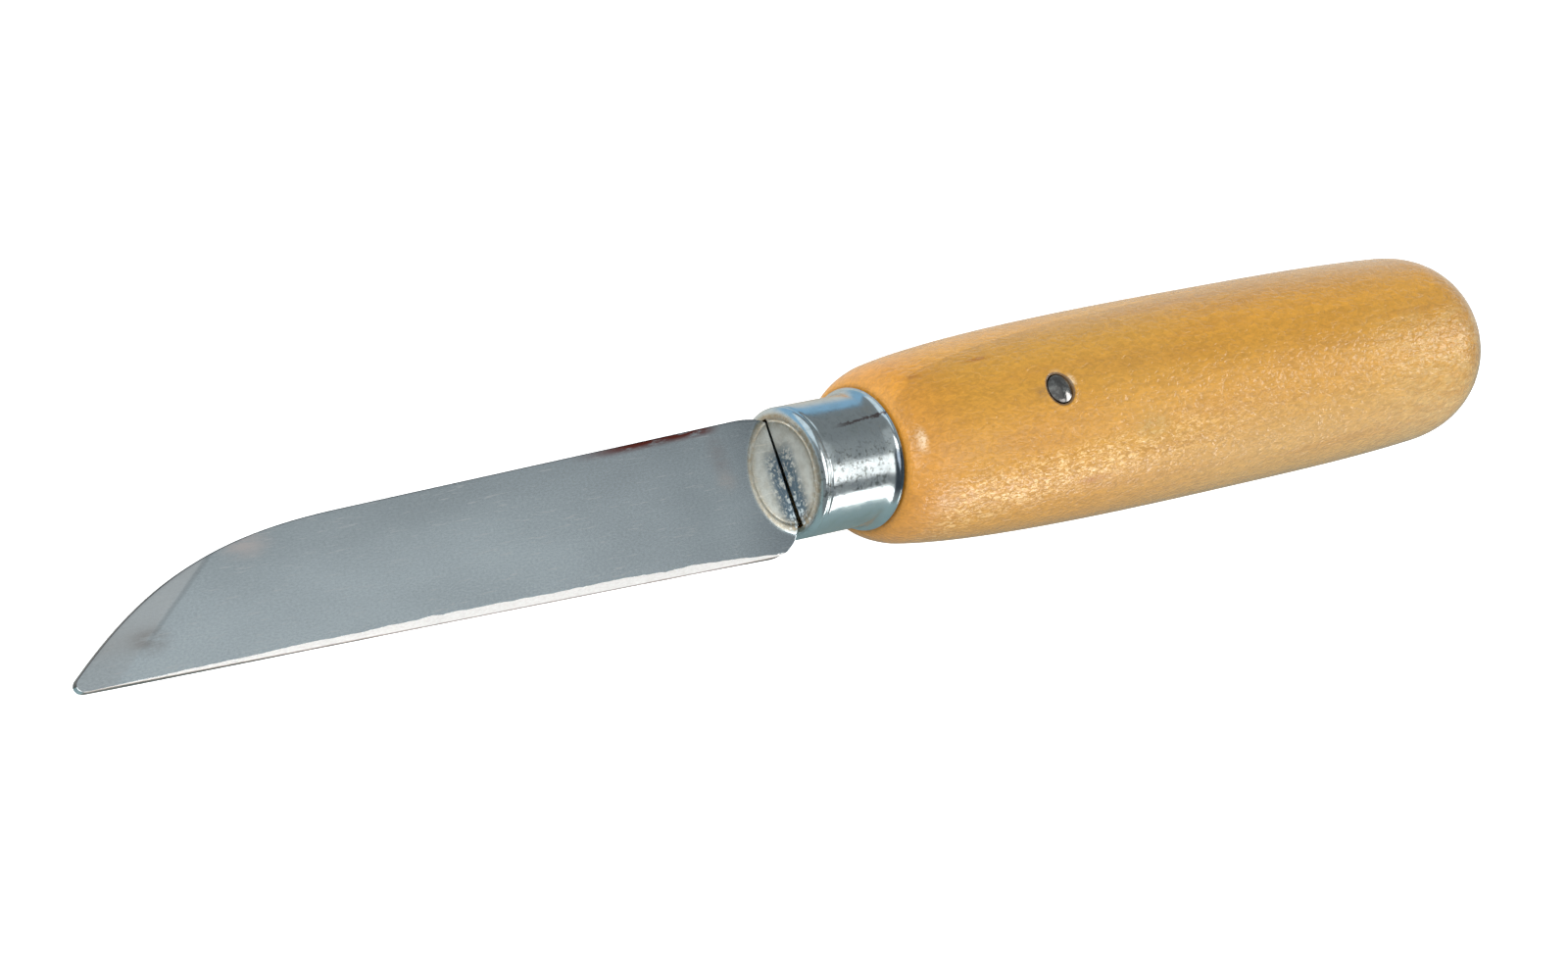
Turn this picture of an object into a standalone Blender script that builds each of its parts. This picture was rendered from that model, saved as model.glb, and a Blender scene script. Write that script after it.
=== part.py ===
"""Hoof knife: a flat steel blade whose tang is pinned in a turned wooden handle, behind a ferrule.

Metres, +Z up. The knife lies on its side: +X runs from the blade's point to the handle's butt, +Y
towards the spine, and the blade's flats face up and down. The world origin is under the middle of
the knife's length, on the surface that the handle's belly rests on. Every piece is placed from one
empty, knife_axis, on the handle's axis at the ferrule's front face.
"""

import math

import bmesh
import bpy
from mathutils import Matrix, Vector
from mathutils.geometry import interpolate_bezier

MM = 0.001
GAP = 0.3 * MM  # left between pieces that touch on the real knife
ROUND_SIDES = 48  # sides of the ferrule and the pin
HANDLE_SIDES = 24  # wide enough for the knife to lie still on one of them
CURVE_STEPS = 10  # straight pieces in one curved stretch of an outline
SHARP_ANGLE = math.radians(35)  # a turned piece's edges are shaded sharp above this

# Whole knife, measured from the ferrule's front face
BLADE_REACH = 107.0 * MM
HANDLE_REACH = 131.9 * MM
HANDLE_RADIUS = 14.4 * MM

# Blade. An outline is cubic stretches (start, handle, handle, end) in millimetres along the knife
# and across it, and where one doesn't start at the last one's end, a straight run joins them.
HEEL = ((-0.35, -7.4), (-1.4, -8.7), (-2.4, -10.58), (-5.9, -10.52))
TIP = ((-105.8, -8.6), (-106.75, -8.58), (-107.5, -7.6), (-106.5, -6.82))
SPINE_DROP = ((-106.5, -6.82), (-94.2, 2.7), (-84.1, 6.15), (-66.75, 6.52))
SHOULDER = ((-4.9, 7.93), (-3.0, 7.93), (-1.3, 7.65), (-0.35, 7.15))
BLADE_THICKNESS = 1.6 * MM
BEVEL_WIDTH = 1.15 * MM
EDGE_THICKNESS = 0.15 * MM
CREASE = (Vector((-85.9, 3.9, 0)) * MM, Vector((-98.7, -6.0, 0)) * MM)  # rear and front ends
FACET_ANGLE = math.radians(5)  # how steeply the point is ground ahead of the crease

# Tang
TANG_THICKNESS = 1.5 * MM
TANG_HALF_WIDTH = 7.1 * MM  # in the ferrule
TANG_END_HALF_WIDTH = 4.6 * MM
TANG_LENGTH = 52.0 * MM

# Ferrule, a drawn cup with a rolled front edge, a shallow groove behind it and a flared rim
FERRULE_RADIUS = 8.73 * MM
FERRULE_LENGTH = 13.16 * MM
FERRULE_WALL = 0.8 * MM
FERRULE_CORNER = 1.75 * MM
GROOVE_DEPTH = 0.12 * MM
GROOVE_HALF_WIDTH = 0.35 * MM
FLARE = ((13.16, 9.54), (13.06, 9.04), (12.16, 8.73), (11.26, 8.73))

# Handle, from the butt to the front shoulder, as stretches along the axis and out from it
BUTT_DOME = ((131.9, 0.0), (131.9, 9.6), (126.1, 13.35), (118.7, 13.75))
REAR_GRIP = ((118.7, 13.75), (107.6, 14.35), (97.0, 14.4), (85.0, 14.4))
FRONT_GRIP = ((85.0, 14.4), (65.0, 14.4), (33.0, 14.55), (18.0, 12.05))
FRONT_SHOULDER = ((18.0, 12.05), (17.2, 11.915), (13.5, 10.85), (13.5, 9.6))
SPIGOT_RADIUS = FERRULE_RADIUS - FERRULE_WALL - GAP

# Pin, through the handle and the tang
PIN_X = 39.35 * MM
PIN_RADIUS = 2.0 * MM
PIN_HALF_LENGTH = 13.75 * MM
PIN_DOME = 0.55 * MM
PIN_LEAN = math.radians(5.1)  # towards the spine


def empty_scene():
    for obj in list(bpy.data.objects):
        bpy.data.objects.remove(obj)


def add_collection(name):
    collection = bpy.data.collections.new(name)
    bpy.context.scene.collection.children.link(collection)
    return collection


def add_axis():
    """The empty on the handle's axis, placed so that the world origin is under the knife's middle."""
    axis = bpy.data.objects.new("knife_axis", None)
    height = HANDLE_RADIUS * math.cos(math.pi / HANDLE_SIDES)
    axis.location = ((BLADE_REACH - HANDLE_REACH) / 2, 0, height)
    PIECES.objects.link(axis)
    return axis


def finish(piece, name, colour, roughness, metallic):
    """Gives a piece its own material."""
    material = bpy.data.materials.new(name)
    material.use_nodes = True
    shader = material.node_tree.nodes["Principled BSDF"]
    shader.inputs["Base Color"].default_value = (*colour, 1)
    shader.inputs["Roughness"].default_value = roughness
    shader.inputs["Metallic"].default_value = metallic
    piece.data.materials.append(material)


def add_object(name, bm, is_cutter=False):
    """An object on the knife's axis from a finished bmesh, which it frees."""
    mesh = bpy.data.meshes.new(name)
    bm.to_mesh(mesh)
    bm.free()
    obj = bpy.data.objects.new(name, mesh)
    obj.parent = AXIS
    if is_cutter:
        CUTTERS.objects.link(obj)
        obj.hide_render = True
        obj.display_type = "WIRE"
    else:
        PIECES.objects.link(obj)
    return obj


def outline_of(*stretches, steps=CURVE_STEPS):
    """Points in metres along cubic stretches given in millimetres, each point once."""
    points = []
    for stretch in stretches:
        ends = [Vector((*point, 0)) for point in stretch]
        curve = [point.xy * MM for point in interpolate_bezier(*ends, steps + 1)]
        joined = points and (curve[0] - points[-1]).length < 1e-6
        points += curve[1:] if joined else curve
    return points


def arc(centre, radius, start, end, steps):
    """Points on an arc about a centre, from one angle in degrees to another."""
    angles = [math.radians(start + (end - start) * i / steps) for i in range(steps + 1)]
    return [Vector(centre) + Vector((math.cos(a), math.sin(a))) * radius for a in angles]


def turned(name, outline, sides=ROUND_SIDES, rotation=(0, math.pi / 2, 0)):
    """A round piece from half its outline, (along, out) points that start at its far end.
    Its corners stand half a side round, so that it lies on a side and not on an edge."""
    bm = bmesh.new()
    x, y = math.cos(math.pi / sides), math.sin(math.pi / sides)
    points = [bm.verts.new((out * x, out * y, along)) for along, out in outline]
    for first, second in zip(points, points[1:]):
        bm.edges.new((first, second))
    piece = add_object(name, bm)
    piece.rotation_euler = rotation
    screw = piece.modifiers.new("Turn", "SCREW")
    screw.axis = "Z"
    screw.steps = sides
    screw.render_steps = sides
    screw.use_merge_vertices = True
    screw.merge_threshold = 1e-6
    graph = bpy.context.evaluated_depsgraph_get()
    piece.data = bpy.data.meshes.new_from_object(piece.evaluated_get(graph))
    piece.modifiers.clear()
    piece.data.shade_smooth()
    piece.data.set_sharp_from_angle(angle=SHARP_ANGLE)
    return piece


def slab(name, outline, thickness, is_cutter=False):
    """A flat plate of this outline, half above the plane of the knife's axis and half below."""
    curve = bpy.data.curves.new(name, "CURVE")
    curve.dimensions = "2D"
    curve.fill_mode = "BOTH"
    curve.extrude = thickness / 2
    spline = curve.splines.new("POLY")
    spline.points.add(len(outline) - 1)
    spline.use_cyclic_u = True
    for point, (x, y) in zip(spline.points, outline):
        point.co = (x, y, 0, 1)
    flat = bpy.data.objects.new(name, curve)
    bpy.context.scene.collection.objects.link(flat)
    graph = bpy.context.evaluated_depsgraph_get()
    filled = bpy.data.meshes.new_from_object(flat.evaluated_get(graph))
    bm = bmesh.new()
    bm.from_mesh(filled)
    bm.transform(flat.matrix_world)
    bpy.data.meshes.remove(filled)
    bpy.data.objects.remove(flat)
    bmesh.ops.remove_doubles(bm, verts=bm.verts, dist=1e-7)
    bmesh.ops.dissolve_limit(bm, angle_limit=1e-4, verts=bm.verts, edges=bm.edges)
    bmesh.ops.recalc_face_normals(bm, faces=bm.faces)
    return add_object(name, bm, is_cutter)


def box_cutter(name, size, matrix):
    """A box of this size, centred where the matrix puts it."""
    bm = bmesh.new()
    bmesh.ops.create_cube(bm, size=1)
    bmesh.ops.scale(bm, vec=size, verts=bm.verts)
    cutter = add_object(name, bm, is_cutter=True)
    cutter.location, cutter.rotation_euler = matrix.translation, matrix.to_euler()
    return cutter


def pin_hole_cutter():
    """A cylinder along the pin, a gap wider than it and longer than the handle is thick."""
    bm = bmesh.new()
    radius = PIN_RADIUS + GAP
    sides = ROUND_SIDES // 2
    length = 3 * HANDLE_RADIUS
    bmesh.ops.create_cone(
        bm, cap_ends=True, segments=sides, radius1=radius, radius2=radius, depth=length
    )
    cutter = add_object("pin_hole", bm, is_cutter=True)
    cutter.location = (PIN_X, 0, 0)
    cutter.rotation_euler = (-PIN_LEAN, 0, 0)
    return cutter


def combine(piece, other, operation="DIFFERENCE"):
    boolean = piece.modifiers.new(other.name, "BOOLEAN")
    boolean.operation = operation
    boolean.object = other


def grind(blade, name, start, along, tilt, size):
    """Grinds both flats down from a line, through start along a direction, by a plane at a tilt."""
    heading = Matrix.Rotation(math.atan2(along.y, along.x), 4, "Z")
    for side, face in (("upper", 1), ("lower", -1)):
        line = Matrix.Translation(start + Vector((0, 0, face * BLADE_THICKNESS / 2)))
        plane = Matrix.Rotation(face * tilt, 4, "X")
        lift = Matrix.Translation((0, 0, face * size[2] / 2))
        combine(blade, box_cutter(f"{side}_{name}", size, line @ heading @ plane @ lift))


def grind_bevel(blade):
    """The narrow bevel along the straight cutting edge."""
    edge_start, edge_end = Vector((*TIP[0], 0)) * MM, Vector((*HEEL[-1], 0)) * MM
    line = (edge_start + edge_end) / 2 + Vector((0, BEVEL_WIDTH, 0))
    tilt = math.atan2((BLADE_THICKNESS - EDGE_THICKNESS) / 2, BEVEL_WIDTH)
    grind(blade, "bevel", line, edge_end - edge_start, tilt, (120 * MM, 10 * MM, 5 * MM))


def grind_facet(blade):
    """The point is thinner ahead of a straight crease that slants from the spine to the edge."""
    rear, front = CREASE
    size = (60 * MM, 40 * MM, 5 * MM)
    grind(blade, "facet", (rear + front) / 2, rear - front, -FACET_ANGLE, size)


def tongue(clearance=0):
    """The tang's taper and round end behind the ferrule, from its +Y side round to its -Y side."""
    taper_start = Vector((FERRULE_LENGTH - GAP, TANG_HALF_WIDTH + clearance))
    centre = (TANG_LENGTH - TANG_END_HALF_WIDTH, 0)
    end = arc(centre, TANG_END_HALF_WIDTH + clearance, 90, -90, 2 * CURVE_STEPS)
    return [taper_start, *end, Vector((taper_start.x, -taper_start.y))]


def make_blade(pin_hole):
    blade = slab("blade", outline_of(HEEL, TIP, SPINE_DROP, SHOULDER), BLADE_THICKNESS)
    root_x = 2 * HEEL[0][0] * MM
    root = [Vector((root_x, -TANG_HALF_WIDTH)), Vector((root_x, TANG_HALF_WIDTH))]
    tang = slab("tang", root + tongue(), TANG_THICKNESS, is_cutter=True)
    combine(blade, tang, "UNION")
    grind_bevel(blade)
    grind_facet(blade)
    combine(blade, pin_hole)
    finish(blade, "blade_steel", (0.42, 0.45, 0.49), roughness=0.28, metallic=1)


def ferrule_outline():
    """Inside from the centre of its closed face to the rim, then back along the outside."""
    corner_centre = (FERRULE_CORNER, FERRULE_RADIUS - FERRULE_CORNER)
    inner_corner = arc(corner_centre, FERRULE_CORNER - FERRULE_WALL, 180, 90, 3)
    outer_corner = arc(corner_centre, FERRULE_CORNER, 90, 180, 6)
    flare = outline_of(FLARE, steps=5)
    inner_flare = [point - Vector((0, FERRULE_WALL)) for point in reversed(flare)]
    bottom = Vector((FERRULE_CORNER + GROOVE_HALF_WIDTH, FERRULE_RADIUS - GROOVE_DEPTH))
    top = bottom + Vector((GROOVE_HALF_WIDTH, GROOVE_DEPTH))
    inside = [Vector((FERRULE_WALL, 0)), *inner_corner, *inner_flare]
    return [*inside, *flare, top, bottom, *outer_corner, Vector((0, 0))]


def make_ferrule():
    ferrule = turned("ferrule", ferrule_outline())
    slot_size = (4 * FERRULE_WALL, 2 * (TANG_HALF_WIDTH + GAP), TANG_THICKNESS + 2 * GAP)
    combine(ferrule, box_cutter("ferrule_slot", slot_size, Matrix.Identity(4)))
    finish(ferrule, "zinc_plate", (0.72, 0.75, 0.77), roughness=0.22, metallic=1)


def make_handle(pin_hole):
    """The grip, and the spigot in the ferrule, with a saw kerf and a pocket for the tang."""
    outline = outline_of(BUTT_DOME, REAR_GRIP, FRONT_GRIP, FRONT_SHOULDER)
    spigot_front = FERRULE_WALL + GAP
    outline += [
        Vector((outline[-1].x, SPIGOT_RADIUS)),
        Vector((spigot_front, SPIGOT_RADIUS)),
        Vector((spigot_front, 0)),
    ]
    handle = turned("handle", outline, HANDLE_SIDES)
    pocket = tongue(GAP)
    kerf_y, kerf_end = SPIGOT_RADIUS + GAP, pocket[0].x
    kerf = [(kerf_end, -kerf_y), (0, -kerf_y), (0, kerf_y), (kerf_end, kerf_y)]
    thickness = TANG_THICKNESS + 2 * GAP
    combine(handle, slab("tang_pocket", kerf + pocket, thickness, is_cutter=True))
    combine(handle, pin_hole)
    finish(handle, "lacquered_wood", (0.66, 0.38, 0.13), roughness=0.3, metallic=0)


def make_pin():
    """A straight pin with a low dome at each end."""
    sphere = (PIN_RADIUS**2 + PIN_DOME**2) / (2 * PIN_DOME)
    rim_angle = math.degrees(math.asin(PIN_RADIUS / sphere))
    dome = arc((PIN_HALF_LENGTH - sphere, 0), sphere, 0, rim_angle, 4)
    far_dome = [Vector((-along, out)) for along, out in reversed(dome)]
    pin = turned("pin", dome + far_dome, rotation=(-PIN_LEAN, 0, 0))
    pin.location = (PIN_X, 0, 0)
    finish(pin, "pin_steel", (0.16, 0.15, 0.15), roughness=0.3, metallic=1)


empty_scene()
PIECES = add_collection("hoof_knife")
CUTTERS = add_collection("cutters")
AXIS = add_axis()
HOLE = pin_hole_cutter()
make_blade(HOLE)
make_ferrule()
make_handle(HOLE)
make_pin()
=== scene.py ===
"""Looks of the hoof knife: a ground and polished blade, a plated ferrule, a lacquered handle and a pin.

Every piece is a finer mesh in the place of its CAD node. Outlines are in millimetres from the
ferrule's front face on the knife's axis, x along the handle and y towards the spine, as the CAD
has them. Meshes are in metres in the row frame, so a material's object coordinates are too.
"""

import math

import bmesh
import bpy
import numpy as np
from mathutils import Matrix, Vector
from mathutils.noise import noise as waver
from mathutils.geometry import interpolate_bezier


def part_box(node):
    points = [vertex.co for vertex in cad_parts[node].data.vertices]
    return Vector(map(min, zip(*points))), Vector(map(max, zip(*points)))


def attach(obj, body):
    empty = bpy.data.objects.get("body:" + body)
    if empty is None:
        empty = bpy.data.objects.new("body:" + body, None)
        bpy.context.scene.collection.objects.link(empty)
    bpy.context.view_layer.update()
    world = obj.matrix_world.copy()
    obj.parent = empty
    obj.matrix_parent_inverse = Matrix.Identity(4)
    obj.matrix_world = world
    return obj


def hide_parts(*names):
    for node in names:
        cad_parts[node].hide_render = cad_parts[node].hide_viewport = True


MM = 0.001

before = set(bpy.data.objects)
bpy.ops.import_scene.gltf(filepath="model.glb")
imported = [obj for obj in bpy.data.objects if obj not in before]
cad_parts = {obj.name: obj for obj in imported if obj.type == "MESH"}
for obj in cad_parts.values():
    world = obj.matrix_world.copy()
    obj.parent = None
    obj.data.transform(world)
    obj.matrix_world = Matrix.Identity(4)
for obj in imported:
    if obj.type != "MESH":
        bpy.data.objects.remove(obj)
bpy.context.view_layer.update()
FERRULE_LOW, FERRULE_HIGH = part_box("ferrule")
AXIS = (FERRULE_LOW + FERRULE_HIGH) / 2
FRONT = Vector((FERRULE_LOW.x, AXIS.y, AXIS.z))

# Blade, as cubic stretches with straight runs between them
HEEL = ((-0.35, -7.4), (-1.4, -8.7), (-2.4, -10.58), (-5.9, -10.52))
TIP = ((-105.8, -8.6), (-106.75, -8.58), (-107.5, -7.6), (-106.5, -6.82))
SPINE_DROP = ((-106.5, -6.82), (-94.2, 2.7), (-84.1, 6.15), (-66.75, 6.52))
SHOULDER = ((-4.9, 7.93), (-3.0, 7.93), (-1.3, 7.65), (-0.35, 7.15))
BLADE_HALF_THICKNESS = 0.8
BEVEL_WIDTH = 1.02
EDGE_SLOPE = (HEEL[-1][1] - TIP[0][1]) / (HEEL[-1][0] - TIP[0][0])
BEVEL_RUN = 48.0  # from the point to where the bevel is full
BEVEL_CLOSES = -18.0  # from here to the heel it narrows again
EDGE_HALF_THICKNESS = 0.075
CREASE_REAR = (-85.9, 3.9)
CREASE_FRONT = (-98.7, -6.0)
CREASE_SOFTNESS = 0.5
FACET_ANGLE = math.radians(5)
BLADE_CORNER = 0.14
TANG_HALF_THICKNESS = 0.75
TANG_HALF_WIDTH = 7.1
TANG_TAPER_START = 12.86
TANG_END_RADIUS = 4.6
TANG_LENGTH = 52.0

# Ferrule
FERRULE_RADIUS = 8.73
FERRULE_LENGTH = (FERRULE_HIGH.x - FERRULE_LOW.x) / MM
FERRULE_WALL = 0.8
FERRULE_CORNER = (0.95, 1.55)  # along the axis, and out from it
FACE_GROOVE = (0.03, 0.3)  # deep, and half its width
GROOVE_X = 1.35
GROOVE_DEPTH = 0.14
GROOVE_HALF_WIDTH = 0.4
FLARE = ((11.26, 8.73), (12.16, 8.73), (13.0, 9.0), (13.08, 9.46))
SLOT_HALF_WIDTH = 7.4
SLOT_HALF_HEIGHTS = (0.94, 1.22)  # at the spine and at the edge

# Handle
BUTT_DOME = ((131.9, 0.0), (131.9, 9.6), (126.1, 13.35), (118.7, 13.75))
HANDLE_RADIUS = 14.4
REAR_GRIP = ((118.7, 13.75), (107.6, 14.35), (97.0, HANDLE_RADIUS), (85.0, HANDLE_RADIUS))
FRONT_GRIP = ((85.0, HANDLE_RADIUS), (65.0, HANDLE_RADIUS), (33.0, 14.55), (18.0, 12.05))
FRONT_SHOULDER = ((18.0, 12.05), (17.2, 11.915), (13.5, 10.85), (13.5, 9.6))
SPIGOT_RADIUS = 7.63
SPIGOT_FRONT = 1.1
TANG_CLEARANCE = 0.3

# Pin, with the hole around it and the lacquer's lip around the hole
PIN_X = 39.35
PIN_RADIUS = 2.0
PIN_HALF_LENGTH = 14.1
PIN_DOME = 0.42
PIN_LEAN = math.radians(5.1)
HOLE_RADIUS = 2.15
LIP_RADIUS = 2.6
LIP_HEIGHT = 0.07
LIP_WIDTH = 0.3

# How far ahead of the crease a point is, as multiples of x, 1 and y
CREASE_LENGTH = math.dist(CREASE_REAR, CREASE_FRONT)
CREASE_RISE = (CREASE_REAR[1] - CREASE_FRONT[1]) / CREASE_LENGTH
CREASE_REACH = (CREASE_REAR[0] - CREASE_FRONT[0]) / CREASE_LENGTH
CREASE_OFFSET = CREASE_FRONT[0] * CREASE_RISE - CREASE_FRONT[1] * CREASE_REACH
CREASE_SLOPE = (-CREASE_RISE, CREASE_OFFSET, CREASE_REACH)

# The lacquer's coat, the surroundings' light, and the camera from the ferrule's front in metres
LACQUER = {"Coat_Weight": 1.0, "Coat_Roughness": 0.07, "Coat_IOR": 1.5}
WORLD_COLOUR = (0.2, 0.222, 0.232, 1)
CAMERA_PLACE = (-0.32205, -0.07284, 0.38388)
CAMERA_RIGHT = (0.75526905, -0.31330974, 0.57567845)
CAMERA_UP = (0.15718647, 0.93929619, 0.30498373)
CAMERA_LENS = 90.2

# Darker and paler patches, as (centre, reach along each axis, colour, strength)
BLADE_TINTS = (
    ((-80.8, 4.4, 0.8), (5.0, 2.4, 2.0), (0.98, 0.87, 0.84), 0.9),
    ((-96.5, -4.4, 0.7), (4.0, 2.4, 2.0), (0.46, 0.4, 0.37), 0.6),
    ((-9.4, 3.4, 0.8), (2.4, 4.5, 2.0), (0.5, 0.38, 0.36), 0.35),
    ((-9.4, 0.4, 0.8), (2.6, 2.2, 2.0), (0.95, 0.84, 0.78), 0.5),
)
# In the wood the last one is a highlight beside the ferrule, painted in
WOOD_TINTS = (
    ((29.5, 7.85, 11.0), (3.6, 0.5, 3.0), (0.42, 0.16, 0.01), 1.4),
    ((18.4, 7.3, 9.6), (2.4, 0.45, 3.0), (0.42, 0.16, 0.01), 1.3),
    ((44.5, -10.8, 8.6), (5.0, 0.8, 3.0), (0.46, 0.18, 0.03), 1.0),
    ((36.1, 1.2, 13.9), (1.8, 1.3, 3.0), (0.3, 0.16, 0.05), 0.9),
    ((41.7, 2.0, 13.6), (1.2, 1.3, 3.0), (0.95, 0.7, 0.42), 1.2),
    ((39.6, 3.6, 13.4), (1.5, 0.6, 3.0), (0.9, 0.6, 0.3), 0.7),
    ((54.5, -6.0, 13.0), (5.0, 3.0, 3.0), (0.42, 0.3, 0.09), 0.5),
    ((15.4, -1.4, 11.2), (1.1, 2.4, 2.6), (1.0, 0.8, 0.55), 0.75),
)


# ---------------------------------------------------------------- shapes

def stretch(points, steps):
    """Points along one cubic stretch, as 2D vectors in millimetres."""
    ends = [Vector((*point, 0)) for point in points]
    return [point.xy for point in interpolate_bezier(*ends, steps + 1)]


def outline_of(*stretches, steps=24):
    """Points along cubic stretches, each point once."""
    points = []
    for one in stretches:
        curve = stretch(one, steps)
        joined = points and (curve[0] - points[-1]).length < 1e-6
        points += curve[1:] if joined else curve
    return points


def arc(centre, radii, start, end, steps):
    """Points on an elliptical arc about a centre, from one angle in degrees to another."""
    angles = [math.radians(start + (end - start) * i / steps) for i in range(steps + 1)]
    (x, y), (reach, rise) = centre, radii
    return [Vector((x + math.cos(a) * reach, y + math.sin(a) * rise)) for a in angles]


def spaced(points, spacing):
    """The same line with extra points, so that no straight run is longer than the spacing."""
    found = [points[0]]
    for first, second in zip(points, points[1:]):
        count = max(1, math.ceil((second - first).length / spacing))
        found += [first.lerp(second, i / count) for i in range(1, count + 1)]
    return found


def mesh_object(name, bm):
    """An object from a bmesh in millimetres about the ferrule's front, moved to the row frame."""
    bmesh.ops.recalc_face_normals(bm, faces=bm.faces)
    bm.transform(Matrix.Translation(FRONT) @ Matrix.Scale(MM, 4))
    mesh = bpy.data.meshes.new(name)
    bm.to_mesh(mesh)
    bm.free()
    obj = bpy.data.objects.new(name, mesh)
    bpy.context.scene.collection.objects.link(obj)
    return obj


def skin(bm, rings):
    """Faces between rings of points. A ring of one point is a pole, and the ends are capped."""
    made = [[bm.verts.new(point) for point in ring] for ring in rings]
    for first, second in zip(made, made[1:]):
        count = max(len(first), len(second))
        for i in range(count):
            j = (i + 1) % count
            near = [first[i % len(first)], first[j % len(first)]]
            far = [second[j % len(second)], second[i % len(second)]]
            bm.faces.new(dict.fromkeys(near + far))
    for end in (made[0], made[-1]):
        if len(end) > 2:
            bm.faces.new(end)


def turned(profile, segments):
    """A bmesh turned about the knife's axis from (along, out) points."""
    bm = bmesh.new()
    turns = [2 * math.pi * i / segments for i in range(segments)]
    rings = []
    for along, out in profile:
        if out < 1e-6:
            rings.append([(along, 0, 0)])
        else:
            rings.append([(along, out * math.sin(a), out * math.cos(a)) for a in turns])
    skin(bm, rings)
    return bm


def shade(obj, sharp_degrees):
    """Smooth shading with sharp edges, where large flat faces keep their own normals."""
    obj.data.shade_smooth()
    obj.data.set_sharp_from_angle(angle=math.radians(sharp_degrees))
    weighted = obj.modifiers.new("Normals", "WEIGHTED_NORMAL")
    weighted.keep_sharp = True


def cut(obj, cutter):
    """Cuts one mesh from another for good, and removes the cutter."""
    boolean = obj.modifiers.new("Cut", "BOOLEAN")
    boolean.object = cutter
    graph = bpy.context.evaluated_depsgraph_get()
    obj.data = bpy.data.meshes.new_from_object(obj.evaluated_get(graph))
    obj.modifiers.clear()
    bpy.data.objects.remove(cutter)


def box_cutter(size, centre):
    bm = bmesh.new()
    bmesh.ops.create_cube(bm, size=1)
    bmesh.ops.scale(bm, vec=size, verts=bm.verts)
    bmesh.ops.translate(bm, vec=centre, verts=bm.verts)
    return mesh_object("cutter", bm)


def pin_place():
    """Turns the +X axis to the pin's axis and moves it to the middle of the pin."""
    lean = Matrix.Rotation(-PIN_LEAN, 4, "X")
    return Matrix.Translation((PIN_X, 0, 0)) @ lean @ Matrix.Rotation(-math.pi / 2, 4, "Y")


def pin_hole_cutter():
    reach = 1.5 * PIN_HALF_LENGTH
    bm = turned([(-reach, 0), (-reach, HOLE_RADIUS), (reach, HOLE_RADIUS), (reach, 0)], 64)
    bm.transform(pin_place())
    return mesh_object("cutter", bm)


# ---------------------------------------------------------------- blade

def tang_outline():
    """The tang's upper side, from the ferrule's slot back to the middle of its round end."""
    end = arc((TANG_LENGTH - TANG_END_RADIUS, 0), (TANG_END_RADIUS,) * 2, 90, 2, 24)
    return [Vector((-0.34, TANG_HALF_WIDTH)), Vector((TANG_TAPER_START, TANG_HALF_WIDTH)), *end]


def blade_sides():
    """The outline's lower and upper side as (x, y) arrays that run from the point to the tang's end."""
    lower_heel = outline_of(HEEL)[::-1]
    tip = stretch(TIP, 40)
    split = min(range(len(tip)), key=lambda i: tip[i].x)
    tang = tang_outline()
    lower = tip[split::-1] + lower_heel + [Vector((p.x, -p.y)) for p in tang]
    upper = tip[split:] + outline_of(SPINE_DROP, SHOULDER, steps=60)[1:] + tang
    return np.array(lower), np.array(upper)


def distances(points, line):
    """The distance of each point from a line of straight pieces."""
    start, step = line[:-1], np.diff(line, axis=0)
    reach = points[:, None, :] - start[None]
    along = np.clip((reach * step).sum(2) / (step**2).sum(1).clip(1e-12), 0, 1)
    return np.sqrt(((reach - along[..., None] * step) ** 2).sum(2).min(1))


def blade_stations(lower, upper):
    """Where the blade is cut across: close together at the round point, the heel and the tang's end."""
    point_x, tang_x = lower[0, 0], lower[-1, 0]
    tip = point_x + 2.4 * (1 - np.cos(np.linspace(0.04, math.pi / 2, 26)))
    body = np.arange(point_x + 2.8, -8.0, 0.5)
    heel = np.linspace(-7.8, HEEL[0][0], 32)
    tang = np.concatenate([[tang_outline()[0].x], np.arange(1.0, TANG_LENGTH - TANG_END_RADIUS, 1.5)])
    end = tang_x - TANG_END_RADIUS * (1 - np.sin(np.linspace(0, math.pi / 2, 14)))
    return np.concatenate([tip, body, heel, tang, end[:-1]])


def bevel_width(x):
    """The hand-ground bevel's width at x: narrow at the point and the heel, and never quite even."""
    full = BEVEL_WIDTH * (0.16 + 0.84 * np.clip((x - TIP[0][0]) / BEVEL_RUN, 0, 1))
    closing = 1 - 0.6 * np.clip((x - BEVEL_CLOSES) / (HEEL[-1][0] - BEVEL_CLOSES), 0, 1)
    long_waves = 0.22 * waver((0.11 * x, 0, 0)) + 0.14 * waver((0.5 * x, 3, 0))
    uneven = long_waves + 0.08 * waver((1.7 * x, 7, 0))
    return full * closing * (1 + uneven)


def section_places(x, low, high):
    """Where a section's points lie across the blade: closest at its corners and the bevel's line."""
    width = high - low
    bend = min(bevel_width(x) + max(0, edge_line(x) - low), 0.4 * width)
    corner = BLADE_CORNER * (1 - np.cos(np.linspace(0, math.pi / 2, 6))) * min(1, width / 1.5)
    bevel = bend * np.array([0.35, 0.7, 0.97, 1.0, 1.04])
    inner_ends = (bend + 0.3, width - 0.5) if width > 4 else (bend * 1.1, 0.85 * width)
    inner = np.linspace(*inner_ends, 24)
    return low + np.sort(np.concatenate([corner, bevel, inner, width - corner]))


def edge_line(x):
    """The straight cutting edge's y at x, also past its ends."""
    return TIP[0][1] + (x - TIP[0][0]) * EDGE_SLOPE


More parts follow.
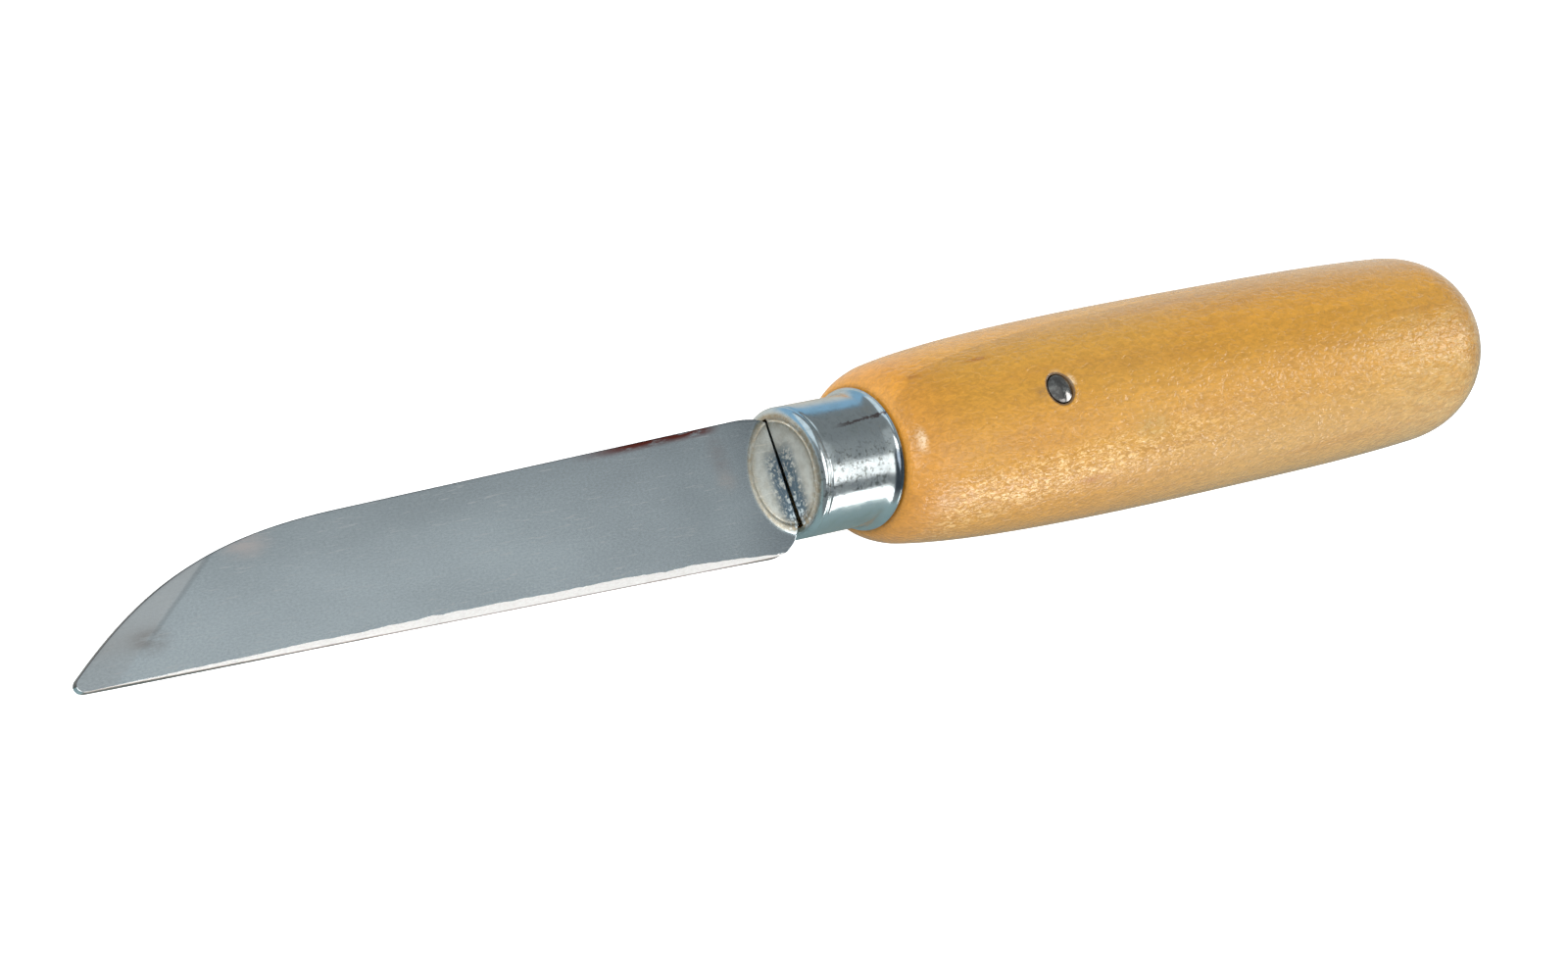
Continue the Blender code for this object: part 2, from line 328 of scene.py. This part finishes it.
def ahead_of_crease(x, y):
    """How far a point is towards the blade's point from the crease."""
    rear, front = np.array(CREASE_REAR), np.array(CREASE_FRONT)
    crease = (rear - front) / np.linalg.norm(rear - front)
    return (y - front[1]) * crease[0] - (x - front[0]) * crease[1]


def flat_half_thickness(x, y):
    flat = np.where(x > HEEL[0][0] + 1e-6, TANG_HALF_THICKNESS, BLADE_HALF_THICKNESS)
    ahead = ahead_of_crease(x, y)
    return flat - math.tan(FACET_ANGLE) * (ahead + np.sqrt(ahead**2 + CREASE_SOFTNESS**2)) / 2


def half_thickness(x, y, outline):
    """Half the blade's thickness: flats, the ground point, the bevel and round corners."""
    flat = flat_half_thickness(x, y)
    width = bevel_width(x[0])
    slope = (BLADE_HALF_THICKNESS - EDGE_HALF_THICKNESS) / BEVEL_WIDTH
    ground = flat - slope * (width - (y - edge_line(x))).clip(0)
    inside = distances(np.column_stack([x, y]), outline).clip(0, BLADE_CORNER)
    drop = BLADE_CORNER - np.sqrt(BLADE_CORNER**2 - (BLADE_CORNER - inside) ** 2)
    return np.maximum(ground - drop * np.clip(ground / BLADE_HALF_THICKNESS, 0, 1), 0.03)


def mark_blade(blade, outline):
    """Marks the bevel, and how far each point is from the spine's outline, for the material."""
    points = np.empty(len(blade.data.vertices) * 3)
    blade.data.vertices.foreach_get("co", points)
    x, y, _ = ((points.reshape(-1, 3) - np.array(FRONT)) / MM).T
    width = np.array([bevel_width(value) for value in x])
    on_bevel = (y - edge_line(x) < width - 0.01).astype(float)
    from_rim = distances(np.column_stack([x, y]), outline)
    for name, values in (("bevel", on_bevel), ("rim", from_rim)):
        attribute = blade.data.attributes.new(name, "FLOAT", "POINT")
        attribute.data.foreach_set("value", values.astype(np.float32))


def make_blade():
    lower, upper = blade_sides()
    outline = np.concatenate([lower, upper[::-1]])
    rings = []
    for at in blade_stations(lower, upper):
        y = section_places(at, np.interp(at, *lower.T), np.interp(at, *upper.T))
        x = np.full_like(y, at)
        z = half_thickness(x, y, outline)
        top = list(zip(x, y, z))
        rings.append(top + [(a, b, -c) for a, b, c in reversed(top)])
    bm = bmesh.new()
    skin(bm, rings)
    blade = mesh_object("ground_blade", bm)
    cut(blade, pin_hole_cutter())
    mark_blade(blade, upper[upper[:, 0] < 0])
    shade(blade, 22)
    return blade


# ---------------------------------------------------------------- ferrule, handle and pin

def swell(u):
    """0 at -1 and 1, and 1 between them at 0."""
    return (1 + math.cos(math.pi * u)) / 2


def ferrule_profile():
    """From the centre of the closed face, out and back along the outside, then in through the rim."""
    corner_x, corner_out = FERRULE_CORNER
    edge = FERRULE_RADIUS - corner_out
    deep, half = FACE_GROOVE
    dip = [Vector((deep * swell(u), edge + half * (u - 1))) for u in np.linspace(-1, 1, 9)]
    face = spaced([Vector((0, 0)), dip[0]], 1.2)[:-1] + dip[:-1]
    corner = arc((corner_x, edge), FERRULE_CORNER, 180, 90, 14)
    groove = [
        Vector((GROOVE_X + GROOVE_HALF_WIDTH * u, FERRULE_RADIUS - GROOVE_DEPTH * swell(u)))
        for u in np.linspace(-1, 1, 13)
    ]
    flare = stretch(FLARE, 14)
    lip = arc((FLARE[-1][0] - 0.24, FLARE[-1][1] - 0.02), (0.32, 0.1), 40, -60, 6)
    inside_radius = FERRULE_RADIUS - FERRULE_WALL
    inner = [
        Vector((FERRULE_LENGTH - 0.3, FLARE[-1][1] - 0.7)),
        Vector((FLARE[1][0], inside_radius)),
        Vector((FERRULE_WALL + 0.4, inside_radius)),
        Vector((FERRULE_WALL, inside_radius - 0.6)),
        Vector((FERRULE_WALL, 0)),
    ]
    outside = spaced([corner[-1], groove[0]], 0.5) + groove[1:] + spaced([groove[-1], flare[0]], 1.0)[1:]
    return face + corner + outside[1:] + flare[1:] + lip[1:] + inner


def make_ferrule():
    ferrule = mesh_object("plated_ferrule", turned(ferrule_profile(), 144))
    slot = box_cutter((4 * FERRULE_WALL, 2 * SLOT_HALF_WIDTH, 2), (0, 0, 0))
    for vertex in slot.data.vertices:
        height = SLOT_HALF_HEIGHTS[vertex.co.y < AXIS.y]
        vertex.co.z = AXIS.z + math.copysign(height * MM, vertex.co.z - AXIS.z)
    cut(ferrule, slot)
    shade(ferrule, 30)
    return ferrule


def handle_profile():
    shape = outline_of(BUTT_DOME, REAR_GRIP, FRONT_GRIP, FRONT_SHOULDER, steps=40)
    front_face = Vector((shape[-1].x, SPIGOT_RADIUS))
    spigot = Vector((SPIGOT_FRONT, SPIGOT_RADIUS))
    return spaced(shape, 1.4) + [front_face, spigot, Vector((SPIGOT_FRONT, 0))]


def raise_lips(bm):
    """Refines the wood round each end of the pin, and raises the lacquer's lip there."""
    axis = pin_place().to_3x3() @ Vector((1, 0, 0))
    middle = Vector((PIN_X, 0, 0))

    def from_pin(point):
        return ((point - middle) - axis * (point - middle).dot(axis)).length

    for reach, cuts in ((5.0, 2), (4.2, 2), (3.7, 1)):
        near = {edge for vert in bm.verts if from_pin(vert.co) < reach for edge in vert.link_edges}
        bmesh.ops.subdivide_edges(bm, edges=list(near), cuts=cuts, use_grid_fill=True)
    for vert in bm.verts:
        distance = from_pin(vert.co)
        if distance > 4.5 or vert.co.yz.length < SPIGOT_RADIUS:
            continue
        outward = Vector((0, vert.co.y, vert.co.z)).normalized()
        lip = LIP_HEIGHT * math.exp(-(((distance - LIP_RADIUS) / LIP_WIDTH) ** 2))
        dip = -0.1 * math.exp(-(((distance - HOLE_RADIUS) / 0.25) ** 2))
        vert.co += outward * (lip + dip)


def tang_pocket_cutter():
    """The saw kerf across the spigot, and the tang's pocket behind it."""
    half = TANG_HALF_THICKNESS + TANG_CLEARANCE
    kerf = SPIGOT_RADIUS + TANG_CLEARANCE
    end = arc((TANG_LENGTH - TANG_END_RADIUS, 0), (TANG_END_RADIUS + TANG_CLEARANCE,) * 2, 90, -90, 24)
    pocket = TANG_HALF_WIDTH + TANG_CLEARANCE
    upper = [(0, -kerf), (0, kerf), (TANG_TAPER_START, kerf), (TANG_TAPER_START, pocket)]
    outline = upper + [tuple(p) for p in end] + [(TANG_TAPER_START, -pocket), (TANG_TAPER_START, -kerf)]
    bm = bmesh.new()
    skin(bm, [[(x, y, -half) for x, y in outline], [(x, y, half) for x, y in outline]])
    return mesh_object("cutter", bm)


def make_handle():
    bm = turned(handle_profile(), 112)
    raise_lips(bm)
    handle = mesh_object("turned_handle", bm)
    cut(handle, tang_pocket_cutter())
    cut(handle, pin_hole_cutter())
    shade(handle, 35)
    return handle


def make_pin():
    sphere = (PIN_RADIUS**2 + PIN_DOME**2) / (2 * PIN_DOME)
    rim_angle = math.degrees(math.asin(PIN_RADIUS * 0.94 / sphere))
    dome = arc((PIN_HALF_LENGTH - sphere, 0), (sphere, sphere), 0, rim_angle, 16)
    side = Vector((dome[-1].x - 0.12, PIN_RADIUS))
    near = dome + [Vector((dome[-1].x - 0.03, PIN_RADIUS * 0.985)), side]
    far = [Vector((-along, out)) for along, out in reversed(near)]
    bm = turned(near + spaced([near[-1], far[0]], 3.0)[1:-1] + far, 64)
    bm.transform(pin_place())
    pin = mesh_object("cross_pin", bm)
    shade(pin, 40)
    return pin


# ---------------------------------------------------------------- materials

def add(tree, kind, inputs=None, **settings):
    """A node with its settings, whose inputs are values or another node's socket."""
    node = tree.nodes.new(kind)
    for name, value in settings.items():
        setattr(node, name, value)
    for name, value in (inputs or {}).items():
        if isinstance(value, bpy.types.NodeSocket):
            tree.links.new(value, node.inputs[name])
        else:
            node.inputs[name].default_value = value
    return node


def millimetres(tree):
    """Object coordinates in millimetres from the ferrule's front on the knife's axis."""
    place = add(tree, "ShaderNodeTexCoord").outputs["Object"]
    moved = add(tree, "ShaderNodeVectorMath", {0: place, 1: tuple(-FRONT)}, operation="ADD").outputs[0]
    return add(tree, "ShaderNodeVectorMath", {0: moved, "Scale": 1 / MM}, operation="SCALE").outputs[0]


def axes(tree, vector):
    split = add(tree, "ShaderNodeSeparateXYZ", {0: vector})
    return split.outputs["X"], split.outputs["Y"], split.outputs["Z"]


def scaled(tree, vector, scale):
    return add(tree, "ShaderNodeMapping", {"Vector": vector, "Scale": scale}).outputs[0]


def noise(tree, vector, scale=1.0, detail=3.0, roughness=0.5, distortion=0.0):
    inputs = {"Vector": vector, "Scale": scale, "Detail": detail}
    inputs |= {"Roughness": roughness, "Distortion": distortion}
    return add(tree, "ShaderNodeTexNoise", inputs).outputs["Fac"]


def math_node(tree, operation, a, b=0.0, c=0.0):
    return add(tree, "ShaderNodeMath", {0: a, 1: b, 2: c}, operation=operation).outputs[0]


def remap(tree, value, low, high, to_low=0.0, to_high=1.0):
    """The value's range from low to high turned smoothly into another."""
    inputs = {"Value": value, "From Min": low, "From Max": high, "To Min": to_low, "To Max": to_high}
    return add(tree, "ShaderNodeMapRange", inputs, interpolation_type="SMOOTHSTEP").outputs["Result"]


def mix(tree, factor, a, b, blend="MIX"):
    node = add(tree, "ShaderNodeMix", data_type="RGBA", blend_type=blend)
    for socket, value in zip((node.inputs[0], node.inputs[6], node.inputs[7]), (factor, a, b)):
        if isinstance(value, bpy.types.NodeSocket):
            tree.links.new(value, socket)
        else:
            socket.default_value = value if socket.type == "VALUE" else (*value, 1)
    return node.outputs[2]


def bump(tree, height, distance, strength=1.0):
    inputs = {"Height": height, "Distance": distance, "Strength": strength}
    return add(tree, "ShaderNodeBump", inputs).outputs[0]


def material(obj, name, build, **values):
    """Gives the piece a material: a Principled shader with constant values, and build's nodes on it."""
    made = bpy.data.materials.new(name)
    made.use_nodes = True
    tree = made.node_tree
    shader = tree.nodes["Principled BSDF"]
    for socket, value in values.items():
        shader.inputs[socket.replace("_", " ")].default_value = value
    for socket, value in build(tree, millimetres(tree)).items():
        tree.links.new(value, shader.inputs[socket])
    obj.data.materials.clear()
    obj.data.materials.append(made)


def grey(tree, value):
    return add(tree, "ShaderNodeCombineColor", {0: value, 1: value, 2: value}).outputs[0]


def times(tree, *values):
    """The product of values and sockets."""
    product = values[0]
    for value in values[1:]:
        product = math_node(tree, "MULTIPLY", product, value)
    return product


def length(tree, vector):
    return add(tree, "ShaderNodeVectorMath", {0: vector}, operation="LENGTH").outputs["Value"]


def spot(tree, place, centre, size):
    """1 at a centre on the surface, falling to 0 at a distance of size along each axis."""
    inputs = {0: place, 1: tuple(-value for value in centre)}
    away = add(tree, "ShaderNodeVectorMath", inputs, operation="ADD").outputs[0]
    away = scaled(tree, away, tuple(1 / value for value in size))
    return remap(tree, length(tree, away), 1.0, 0.0)


def mark(tree, name):
    return add(tree, "ShaderNodeAttribute", attribute_name=name).outputs["Fac"]


def blade_steel(tree, place):
    """Satin steel: fine grain, short scratches, oxide along the spine and a rougher ground bevel.
    Painted reflection darkens it towards the spine and the heel and lightens the ground facet, and a
    painted shade line runs along the crease.
    """
    x, y, _ = axes(tree, place)
    grain = noise(tree, scaled(tree, place, (2.2, 5.0, 5.0)), detail=3, roughness=0.7)
    scratches = noise(tree, scaled(tree, place, (0.36, 4.4, 4.4)), detail=2, roughness=0.5)
    clouds = noise(tree, scaled(tree, place, (0.05, 0.15, 0.15)), detail=3)
    rust = noise(tree, scaled(tree, place, (0.35, 1.6, 1.6)), detail=4, roughness=0.7)
    bevel, rim = mark(tree, "bevel"), mark(tree, "rim")
    ahead = math_node(tree, "MULTIPLY_ADD", x, CREASE_SLOPE[0], CREASE_SLOPE[1])
    ahead = math_node(tree, "MULTIPLY_ADD", y, CREASE_SLOPE[2], ahead)
    facet = times(tree, remap(tree, ahead, -0.2, 0.6), remap(tree, y, -6.5, -3.5, 0.35, 1))
    tone = remap(tree, grain, 0.2, 0.8, 0.86, 1.12)
    tone = times(tree, tone, remap(tree, clouds, 0.25, 0.75, 0.94, 1.06))
    # Painted reflection: darker towards the spine and towards the heel
    tone = times(tree, tone, remap(tree, y, 8.0, -4.0, 0.84, 1.05))
    tone = times(tree, tone, remap(tree, x, -45.0, -12.0, 1.0, 0.92))
    colour = mix(tree, 1.0, (0.79, 0.855, 0.89), grey(tree, tone), "MULTIPLY")
    colour = mix(tree, remap(tree, scratches, 0.61, 0.73, 0, 0.55), colour, (1.0, 1.0, 1.0))
    # Partly the facet's ground finish, partly painted reflection: the facet is lighter and warmer
    ground = mix(tree, remap(tree, y, -1.0, -5.0), (0.98, 0.96, 0.95), (0.78, 0.73, 0.7))
    colour = mix(tree, times(tree, facet, 0.6), colour, ground)
    # Painted shade: a dark line along the crease
    crease = times(tree, remap(tree, ahead, -0.5, -0.05), remap(tree, ahead, 0.35, 0.05))
    crease = times(tree, crease, remap(tree, y, -6.0, -3.0), 0.3)
    colour = mix(tree, crease, colour, (0.32, 0.32, 0.32))
    for centre, size, tint, amount in BLADE_TINTS:
        patch = times(tree, spot(tree, place, centre, size), remap(tree, rust, 0.2, 0.6), amount)
        colour = mix(tree, patch, colour, tint)
    near_spine = remap(tree, rim, 1.3, 0.35)
    strip = times(tree, near_spine, remap(tree, x, -33.0, -22.0), remap(tree, x, -7.0, -11.0))
    colour = mix(tree, times(tree, strip, remap(tree, rust, 0.26, 0.52)), colour, (0.25, 0.055, 0.04))
    colour = mix(tree, remap(tree, rim, 0.14, 0.06, 0, 0.8), colour, (0.1, 0.06, 0.045))
    ground_edge = mix(tree, remap(tree, grain, 0.3, 0.75), (1.0, 0.98, 0.95), (0.87, 0.83, 0.8))
    colour = mix(tree, bevel, colour, ground_edge)
    edge = math_node(tree, "MULTIPLY_ADD", x, -EDGE_SLOPE, EDGE_SLOPE * TIP[0][0] - TIP[0][1])
    edge = math_node(tree, "ADD", edge, y)
    colour = mix(tree, remap(tree, edge, 0.16, 0.06, 0, 0.8), colour, (0.22, 0.15, 0.11))
    rough = remap(tree, x, -9.0, -22.0, 0.07, 0.26)
    rough = math_node(tree, "MAXIMUM", rough, times(tree, bevel, 0.45))
    height = math_node(tree, "MULTIPLY_ADD", scratches, 0.5, grain)
    fine = remap(tree, x, -5.0, -12.0, 0.25, 1.0)
    return {
        "Base Color": colour,
        "Roughness": rough,
        "Normal": bump(tree, times(tree, height, fine), 0.008 * MM, 0.35),
    }


def zinc_plate(tree, place):
    """Bright zinc: a cloudy cylinder with dark specks and a scratch, and a duller, stained front face.
    The dark stretch on the flare and the pale patch low by the slot are reflections painted in."""
    x, y, z = axes(tree, place)
    blotches = noise(tree, place, 0.5, detail=5, roughness=0.65)
    specks = noise(tree, place, 1.5, detail=3, roughness=0.7)
    stain = noise(tree, place, 1.5, detail=5, roughness=0.7, distortion=0.8)
    out = length(tree, scaled(tree, place, (0, 1, 1)))
    front = times(tree, remap(tree, x, 0.5, 0.15), remap(tree, out, 8.3, 7.7))
    colour = mix(tree, remap(tree, blotches, 0.4, 0.7), (0.76, 0.81, 0.82), (0.68, 0.73, 0.72))
    worn = times(tree, remap(tree, y, -6.6, -5.0), remap(tree, y, 1.0, -1.5, 0.15, 0.8))
    colour = mix(tree, times(tree, remap(tree, specks, 0.53, 0.62), worn), colour, (0.25, 0.27, 0.25))
    face = mix(tree, remap(tree, blotches, 0.35, 0.65), (0.8, 0.76, 0.67), (0.64, 0.59, 0.5))
    from_slot = math_node(tree, "ABSOLUTE", z)
    by_slot = times(tree, remap(tree, from_slot, 4.6, 2.6), remap(tree, y, 4.5, 1.5))
    # Painted reflection: a pale patch low by the slot
    bright = times(tree, remap(tree, from_slot, 3.4, 1.5), remap(tree, y, -2.0, -5.0), 0.8)
    face = mix(tree, bright, face, (0.82, 0.9, 0.92))
    face = mix(tree, times(tree, by_slot, remap(tree, stain, 0.4, 0.5), 0.95), face, (0.12, 0.17, 0.21))
    border = times(tree, remap(tree, out, 5.8, 7.2), remap(tree, stain, 0.35, 0.6), 0.75)
    face = mix(tree, border, face, (0.5, 0.37, 0.22))
    colour = mix(tree, front, colour, face)
    line = math_node(tree, "SUBTRACT", y, math_node(tree, "MULTIPLY_ADD", stain, 1.4, 2.2))
    line = math_node(tree, "ABSOLUTE", math_node(tree, "MULTIPLY_ADD", x, -0.06, line))
    # Painted reflection: a dark stretch on the flare
    flare_dark_reflection = times(tree, remap(tree, x, 12.0, 12.5), remap(tree, y, -0.8, -2.2))
    flare_dark_reflection = times(tree, flare_dark_reflection, remap(tree, y, -7.2, -6.0), 0.9)
    colour = mix(tree, flare_dark_reflection, colour, (0.1, 0.13, 0.17))
    scratch = times(tree, remap(tree, line, 0.26, 0.08), remap(tree, x, 3.5, 7.5))
    scratch = times(tree, scratch, remap(tree, z, 0.0, 0.5), 0.8)
    colour = mix(tree, scratch, colour, (0.16, 0.08, 0.075))
    rough = remap(tree, blotches, 0.3, 0.7, 0.13, 0.24)
    return {
        "Base Color": colour,
        "Roughness": math_node(tree, "MULTIPLY_ADD", front, 0.2, rough),
        "Normal": bump(tree, math_node(tree, "MULTIPLY_ADD", stain, 0.6, specks), 0.02 * MM, 0.3),
    }


def pin_distance(tree, place):
    """The distance in millimetres from the pin's axis."""
    lean = (0, math.sin(PIN_LEAN), math.cos(PIN_LEAN))
    inputs = {0: place, 1: (-PIN_X, 0, 0)}
    moved = add(tree, "ShaderNodeVectorMath", inputs, operation="ADD").outputs[0]
    across = add(tree, "ShaderNodeVectorMath", {0: moved, 1: lean}, operation="CROSS_PRODUCT").outputs[0]
    return length(tree, across)


def lacquered_wood(tree, place):
    """Pale close-grained hardwood: soft lengthwise figure, short curly flecks and a few dark streaks.
    The gleam on its lower side and a highlight beside the ferrule are painted in, on top of what the
    rippled coat reflects."""
    x, y, _ = axes(tree, place)
    grain = noise(tree, scaled(tree, place, (0.03, 0.5, 0.5)), detail=4, roughness=0.55, distortion=0.6)
    curl = noise(tree, scaled(tree, place, (0.9, 2.2, 2.2)), detail=4, roughness=0.65, distortion=1.2)
    ripple = noise(tree, scaled(tree, place, (0.6, 1.3, 1.3)), detail=1.5, distortion=1.5)
    flecks = noise(tree, scaled(tree, place, (0.45, 1.3, 1.3)), detail=4, roughness=0.6, distortion=1.0)
    clouds = noise(tree, scaled(tree, place, (0.025, 0.07, 0.07)), detail=2)
    colour = mix(tree, remap(tree, clouds, 0.3, 0.7), (0.62, 0.305, 0.036), (0.58, 0.262, 0.02))
    orange = times(tree, remap(tree, y, 0.5, 6.0), remap(tree, y, 12.5, 7.5))
    orange = times(tree, orange, remap(tree, x, 50.0, 80.0), 0.5)
    colour = mix(tree, orange, colour, (0.76, 0.36, 0.035))
    pale = times(tree, remap(tree, y, -3.0, -10.0), remap(tree, x, 30.0, 80.0), 0.45)
    colour = mix(tree, pale, colour, (0.62, 0.40, 0.15))
    butt = times(tree, remap(tree, x, 92.0, 118.0), remap(tree, flecks, 0.42, 0.6))
    butt = times(tree, butt, remap(tree, y, 5.0, -1.0), 0.55)
    colour = mix(tree, butt, colour, (0.72, 0.47, 0.17))
    colour = mix(tree, remap(tree, x, 26.0, 14.0, 0, 0.5), colour, (0.58, 0.235, 0.035))
    colour = mix(tree, remap(tree, grain, 0.45, 0.75, 0, 0.35), colour, (0.48, 0.21, 0.03))
    tone = times(tree, remap(tree, curl, 0.3, 0.7, 0.91, 1.09), remap(tree, ripple, 0.3, 0.7, 0.9, 1.1))
    colour = mix(tree, 1.0, colour, grey(tree, tone), "MULTIPLY")
    # Painted highlight: a gleam of flecks along the lower side behind the shoulder
    slant = math_node(tree, "MULTIPLY_ADD", x, -0.06, math_node(tree, "ADD", y, 11.5))
    slant = math_node(tree, "ABSOLUTE", slant)
    gleam = times(tree, remap(tree, curl, 0.51, 0.6), remap(tree, slant, 3.6, 1.0))
    gleam = times(tree, gleam, remap(tree, x, 88.0, 36.0), remap(tree, x, 16.0, 23.0), 0.8)
    colour = mix(tree, gleam, colour, (0.98, 0.66, 0.28))
    # Stains and chips, and last a painted highlight beside the ferrule
    for centre, size, tint, amount in WOOD_TINTS:
        patch = times(tree, spot(tree, place, centre, size), remap(tree, curl, 0.35, 0.6), amount)
        colour = mix(tree, patch, colour, tint)
    hole_rim = remap(tree, pin_distance(tree, place), 2.55, 2.3, 0, 0.85)
    colour = mix(tree, hole_rim, colour, (0.07, 0.045, 0.03))
    return {
        "Base Color": colour,
        "Coat Normal": bump(tree, ripple, 0.22 * MM, 1.0),
    }


def pin_steel(tree, place):
    """Dark steel, polished by the hammer on its domed end and scuffed in patches."""
    scuffs = noise(tree, place, 0.9, detail=4, roughness=0.6)
    return {
        "Base Color": mix(tree, remap(tree, scuffs, 0.4, 0.7), (0.27, 0.25, 0.24), (0.58, 0.56, 0.53)),
        "Roughness": remap(tree, scuffs, 0.3, 0.7, 0.1, 0.2),
        "Normal": bump(tree, scuffs, 0.03 * MM, 0.3),
    }


def pale_floor(tree, place):
    """White where it is seen. In reflections it fades from warm white to blue behind the knife and
    is a dull green in front of it, and it throws back two thirds of the light."""
    _, y, _ = axes(tree, place)
    path = add(tree, "ShaderNodeLightPath").outputs
    behind = mix(tree, remap(tree, y, 17.0, 62.0), (0.62, 0.61, 0.57), (0.22, 0.38, 0.53))
    mirrored = mix(tree, remap(tree, y, 9.0, -6.0), behind, (0.225, 0.305, 0.315))
    colour = mix(tree, path["Is Glossy Ray"], (0.64, 0.64, 0.64), mirrored)
    return {
        "Base Color": mix(tree, path["Is Camera Ray"], colour, (0.9, 0.9, 0.9)),
        "Emission Strength": times(tree, path["Is Camera Ray"], 0.8),
    }


# ---------------------------------------------------------------- stage

def make_floor():
    bm = bmesh.new()
    bmesh.ops.create_grid(bm, x_segments=8, y_segments=8, size=6)
    mesh = bpy.data.meshes.new("floor")
    bm.to_mesh(mesh)
    bm.free()
    floor = bpy.data.objects.new("floor", mesh)
    floor.location.z = AXIS.z - HANDLE_RADIUS * MM
    bpy.context.scene.collection.objects.link(floor)
    look = {"Roughness": 0.8, "Specular_IOR_Level": 0.0, "Emission_Color": (1, 1, 1, 1)}
    material(floor, "pale_floor", pale_floor, **look)


def add_light(name, place, size, radiance, colour=(1, 1, 1)):
    """A rectangular soft light that faces the knife from a place, in metres from the knife's axis."""
    data = bpy.data.lights.new(name, "AREA")
    data.shape = "RECTANGLE"
    data.size, data.size_y = size
    data.energy = radiance * math.pi * size[0] * size[1]
    data.color = colour
    light = bpy.data.objects.new(name, data)
    light.location = AXIS + Vector(place)
    light.rotation_euler = Vector(place).to_track_quat("Z", "Y").to_euler()
    light.visible_camera = False
    bpy.context.scene.collection.objects.link(light)
    return light


def add_strip(name, low, high, reach, radiance, colour=(1, 1, 1), distance=1.2):
    """A strip light along the knife. It spans two angles in degrees about the knife's axis, from
    straight up towards the spine, and two places along the axis."""
    middle, half = math.radians(low + high) / 2, math.radians(high - low) / 2
    size = (reach[1] - reach[0], 2 * distance * math.tan(half))
    place = (0, math.sin(middle) * distance, math.cos(middle) * distance)
    light = add_light(name, place, size, radiance, colour)
    light.rotation_euler = (-middle, 0, 0)
    light.location.x += (reach[0] + reach[1]) / 2
    return light


def add_lights():
    add_light("key", (-0.75, -0.36, 1.4), (1.2, 1.0), 2.5)
    add_light("top_sheen", (-0.8, 1.2, 0.6), (1.9, 1.3), 0.65, (0.75, 0.9, 1.0))
    add_light("top_fill", (-0.8, 1.2, 0.6), (1.9, 1.3), 5.2).visible_glossy = False
    add_light("glint", (1.3, -0.2, 0.68), (0.5, 0.5), 3.0).visible_diffuse = False
    add_strip("low_fill", -94, -24, (-0.5, 0.3), 2.15).visible_glossy = False
    add_strip("band_high", -44, -14, (0.3, 1.12), 1.35)
    add_strip("band_low", -89, -69, (0.3, 1.12), 4.2)
    add_strip("over_blade", -12, 26, (-0.4, 0.96), 0.19, (0.95, 1.0, 1.0))


def make_world():
    world = bpy.data.worlds.new("studio")
    world.use_nodes = True
    world.node_tree.nodes["Background"].inputs["Color"].default_value = WORLD_COLOUR
    bpy.context.scene.world = world


def make_camera():
    data = bpy.data.cameras.new("camera")
    data.sensor_width = 36
    data.lens = CAMERA_LENS
    data.clip_start = 0.01
    camera = bpy.data.objects.new("camera", data)
    right, up = Vector(CAMERA_RIGHT), Vector(CAMERA_UP)
    turn = Matrix((right, up, right.cross(up))).transposed()
    camera.matrix_world = Matrix.Translation(FRONT + Vector(CAMERA_PLACE)) @ turn.to_4x4()
    bpy.context.scene.collection.objects.link(camera)
    bpy.context.scene.camera = camera


# ---------------------------------------------------------------- the knife

def place(piece, node, slot):
    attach(piece, "root")
    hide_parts(node)


make_camera()
make_world()
add_lights()
make_floor()

blade = make_blade()
material(blade, "blade_steel", blade_steel, Metallic=1.0)
place(blade, "blade", "blade_steel")

ferrule = make_ferrule()
material(ferrule, "zinc_plate", zinc_plate, Metallic=1.0)
place(ferrule, "ferrule", "zinc_plate")

handle = make_handle()
material(handle, "lacquered_wood", lacquered_wood, Roughness=0.5, **LACQUER)
place(handle, "handle", "lacquered_wood")

pin = make_pin()
material(pin, "pin_steel", pin_steel, Metallic=1.0)
place(pin, "pin", "pin_steel")

bpy.context.scene.view_settings.view_transform = "Standard"
